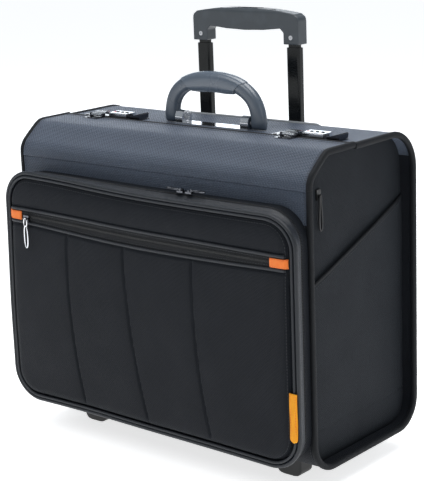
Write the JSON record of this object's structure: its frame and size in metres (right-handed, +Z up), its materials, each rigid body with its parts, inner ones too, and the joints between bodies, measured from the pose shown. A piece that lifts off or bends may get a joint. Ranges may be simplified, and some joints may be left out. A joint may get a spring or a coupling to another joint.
{
  "type": "pilot rolling flight case",
  "caption": "Soft-sided pilot case on wheels with a fold-back front flap, zipped front pocket, carry handle, combination locks and a telescopic pull handle.",
  "frame": {"origin": "centre of the bounding box's underside, on the ground under the case", "axes": "+X to the case's left-to-right along its width, +Y to the rear wall with the pull handle, +Z up"},
  "size_m": [0.46, 0.2695, 0.538],
  "materials": {
    "case_fabric": "dense ballistic weave",
    "top_fabric": "dense ballistic weave with a sheen",
    "binding_tape": "ribbed edge tape",
    "lining": "plain lining",
    "zip_tape": "coil zip with welted tape",
    "orange_fabric": "plain woven tab",
    "black_plastic": "fine texture",
    "collar_plastic": "satin",
    "grip_plastic": "satin",
    "sleeve_rubber": "soft touch",
    "tube_black": "gloss black",
    "tube_metal": "drawn",
    "chrome_metal": "polished",
    "steel_pin": "turned",
    "tyre_rubber": "matt",
    "cord_black": "moulded loop"
  },
  "bodies": {
    "case": {"front_wall": "case_fabric", "bottom_panel": "case_fabric", "rear_wall": "case_fabric", "rear_top_board": "top_fabric", "end_panel_left": "case_fabric", "end_panel_right": "case_fabric", "rim_tape": "binding_tape", "end_slip_pockets": "case_fabric", "trolley_cover_panel": "lining", "divider": "lining", "front_feet": "black_plastic", "wheel_housings": "black_plastic", "wheel_axles": "steel_pin", "outer_tubes": "tube_metal", "trolley_collar": "collar_plastic", "handle_base_plate": "chrome_metal", "handle_brackets": "chrome_metal", "handle_pins": "steel_pin", "lock_plates": "chrome_metal", "lock_housings": "chrome_metal", "pocket_rear_gusset": "case_fabric", "pocket_zip_track": "zip_tape", "side_zip_slider": "black_plastic"},
    "pocket_panel": {"pocket_front_gusset": "case_fabric", "pocket_front_panel": "case_fabric", "pocket_piping": "binding_tape", "front_zip_track": "zip_tape", "orange_tabs": "orange_fabric"},
    "flap": {"flap_panel": "top_fabric", "flap_tape": "binding_tape", "hasp_mounts": "chrome_metal"},
    "hasp_left_body": {"hasp_left": "chrome_metal"},
    "hasp_right_body": {"hasp_right": "chrome_metal"},
    "lock_button_left_body": {"lock_button_left": "chrome_metal"},
    "lock_button_right_body": {"lock_button_right": "chrome_metal"},
    "pocket_slider_left_body": {"pocket_slider_left": "chrome_metal"},
    "pocket_slider_right_body": {"pocket_slider_right": "chrome_metal"},
    "pocket_pull_left_body": {"pocket_pull_left": "chrome_metal"},
    "pocket_pull_right_body": {"pocket_pull_right": "chrome_metal"},
    "front_zip_slider_body": {"front_zip_slider": "chrome_metal"},
    "front_zip_pull_body": {"front_zip_pull": "chrome_metal"},
    "side_zip_pull_body": {"side_zip_pull": "cord_black"},
    "carry_handle": {"handle_arch": "grip_plastic", "handle_grip_sleeve": "sleeve_rubber"},
    "trolley_middle": {"middle_tubes": "tube_black"},
    "trolley_top": {"inner_tubes": "tube_metal", "trolley_grip": "grip_plastic", "socket_screws": "steel_pin"},
    "grip_button_body": {"grip_button": "black_plastic"},
    "wheel_left": {"tyre_left": "tyre_rubber", "hub_left": "grip_plastic"},
    "wheel_right": {"tyre_right": "tyre_rubber", "hub_right": "grip_plastic"},
    "dial_left_1_body": {"dial_left_1": "black_plastic"},
    "dial_left_2_body": {"dial_left_2": "black_plastic"},
    "dial_left_3_body": {"dial_left_3": "black_plastic"},
    "dial_right_1_body": {"dial_right_1": "black_plastic"},
    "dial_right_2_body": {"dial_right_2": "black_plastic"},
    "dial_right_3_body": {"dial_right_3": "black_plastic"}
  },
  "joints": [
    {"name": "flap_fold", "type": "hinge", "parent": "case", "child": "flap", "pos_m": [0, -0.09125, 0.363], "axis": [1, 0, 0], "range_deg": [0, 135]},
    {"name": "hasp_left_lift", "type": "hinge", "parent": "flap", "child": "hasp_left_body", "pos_m": [-0.17, -0.00825, 0.4052], "axis": [1, 0, 0], "range_deg": [0, 100]},
    {"name": "hasp_right_lift", "type": "hinge", "parent": "flap", "child": "hasp_right_body", "pos_m": [0.14, -0.00825, 0.4052], "axis": [1, 0, 0], "range_deg": [0, 100]},
    {"name": "lock_button_left_press", "type": "slide", "parent": "case", "child": "lock_button_left_body", "axis": [-1, 0, 0], "range_m": [0, 0.003], "stiffness_N_per_m": 300},
    {"name": "lock_button_right_press", "type": "slide", "parent": "case", "child": "lock_button_right_body", "axis": [-1, 0, 0], "range_m": [0, 0.003], "stiffness_N_per_m": 300},
    {"name": "dial_left_1_turn", "type": "hinge", "parent": "case", "child": "dial_left_1_body", "pos_m": [-0.1505, 0.01025, 0.4049], "axis": [1, 0, 0], "continuous": true},
    {"name": "dial_left_2_turn", "type": "hinge", "parent": "case", "child": "dial_left_2_body", "pos_m": [-0.1425, 0.01025, 0.4049], "axis": [1, 0, 0], "continuous": true},
    {"name": "dial_left_3_turn", "type": "hinge", "parent": "case", "child": "dial_left_3_body", "pos_m": [-0.1345, 0.01025, 0.4049], "axis": [1, 0, 0], "continuous": true},
    {"name": "dial_right_1_turn", "type": "hinge", "parent": "case", "child": "dial_right_1_body", "pos_m": [0.1595, 0.01025, 0.4049], "axis": [1, 0, 0], "continuous": true},
    {"name": "dial_right_2_turn", "type": "hinge", "parent": "case", "child": "dial_right_2_body", "pos_m": [0.1675, 0.01025, 0.4049], "axis": [1, 0, 0], "continuous": true},
    {"name": "dial_right_3_turn", "type": "hinge", "parent": "case", "child": "dial_right_3_body", "pos_m": [0.1755, 0.01025, 0.4049], "axis": [1, 0, 0], "continuous": true},
    {"name": "pocket_panel_fold", "type": "hinge", "parent": "case", "child": "pocket_panel", "pos_m": [0, -0.10865, 0.04], "axis": [1, 0, 0], "range_deg": [0, 40]},
    {"name": "pocket_slider_left_run", "type": "slide", "parent": "case", "child": "pocket_slider_left_body", "axis": [1, 0, 0], "range_m": [-0.225, 0]},
    {"name": "pocket_slider_right_run", "type": "slide", "parent": "case", "child": "pocket_slider_right_body", "axis": [1, 0, 0], "range_m": [0, 0.1]},
    {"name": "pocket_pull_left_lift", "type": "hinge", "parent": "pocket_slider_left_body", "child": "pocket_pull_left_body", "pos_m": [0.057, -0.10765, 0.3489], "axis": [0, -1, 0], "range_deg": [-110, 0]},
    {"name": "pocket_pull_right_lift", "type": "hinge", "parent": "pocket_slider_right_body", "child": "pocket_pull_right_body", "pos_m": [0.07, -0.10765, 0.3489], "axis": [0, 1, 0], "range_deg": [-110, 0]},
    {"name": "front_zip_slider_run", "type": "slide", "parent": "pocket_panel", "child": "front_zip_slider_body", "axis": [1, 0, 0], "range_m": [0, 0.37]},
    {"name": "front_zip_pull_swing", "type": "hinge", "parent": "front_zip_slider_body", "child": "front_zip_pull_body", "pos_m": [-0.184, -0.13375, 0.29], "axis": [1, 0, 0], "range_deg": [-90, 0]},
    {"name": "side_zip_pull_swing", "type": "hinge", "parent": "case", "child": "side_zip_pull_body", "pos_m": [0.2137, -0.05125, 0.3465], "axis": [1, 0, 0], "range_deg": [-35, 35]},
    {"name": "carry_handle_tilt", "type": "hinge", "parent": "case", "child": "carry_handle", "pos_m": [0.006, 0.01875, 0.408], "axis": [1, 0, 0], "range_deg": [-75, 75]},
    {"name": "trolley_middle_slide", "type": "slide", "parent": "case", "child": "trolley_middle", "axis": [0, 0, 1], "range_m": [-0.092, 0.16]},
    {"name": "trolley_top_slide", "type": "slide", "parent": "trolley_middle", "child": "trolley_top", "axis": [0, 0, 1], "range_m": [0, 0.24]},
    {"name": "grip_button_press", "type": "slide", "parent": "trolley_top", "child": "grip_button_body", "axis": [0, 0, -1], "range_m": [0, 0.004], "stiffness_N_per_m": 400},
    {"name": "wheel_left_spin", "type": "hinge", "parent": "case", "child": "wheel_left", "pos_m": [-0.148, 0.10575, 0.029], "axis": [1, 0, 0], "continuous": true},
    {"name": "wheel_right_spin", "type": "hinge", "parent": "case", "child": "wheel_right", "pos_m": [0.148, 0.10575, 0.029], "axis": [1, 0, 0], "continuous": true}
  ]
}
